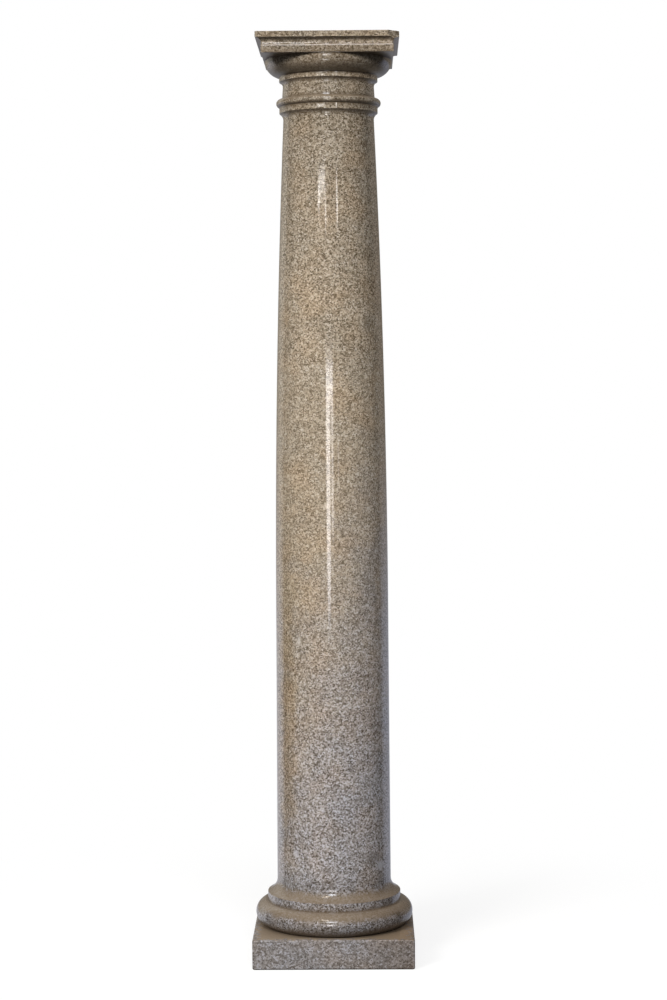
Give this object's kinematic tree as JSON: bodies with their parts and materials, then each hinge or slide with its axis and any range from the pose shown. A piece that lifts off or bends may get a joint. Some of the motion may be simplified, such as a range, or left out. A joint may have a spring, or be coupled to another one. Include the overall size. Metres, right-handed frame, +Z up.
{
  "type": "granite column",
  "caption": "Turned granite column: square plinth, torus base, tapering shaft with entasis, astragal, echinus and square moulded abacus with a broken corner.",
  "frame": {"origin": "centre of the plinth's bottom bed, where the column's axis meets the floor", "axes": "+Z up along the column's axis to the centre of the top bed; +X and +Y square to the sides of plinth and abacus; -Y is the front, and the crown's broken corner is at +X -Y"},
  "size_m": [0.426, 0.426, 2.44],
  "materials": {
    "granite": "polished, with dull bed faces"
  },
  "bodies": {
    "root": {"column": "granite"}
  },
  "joints": []
}
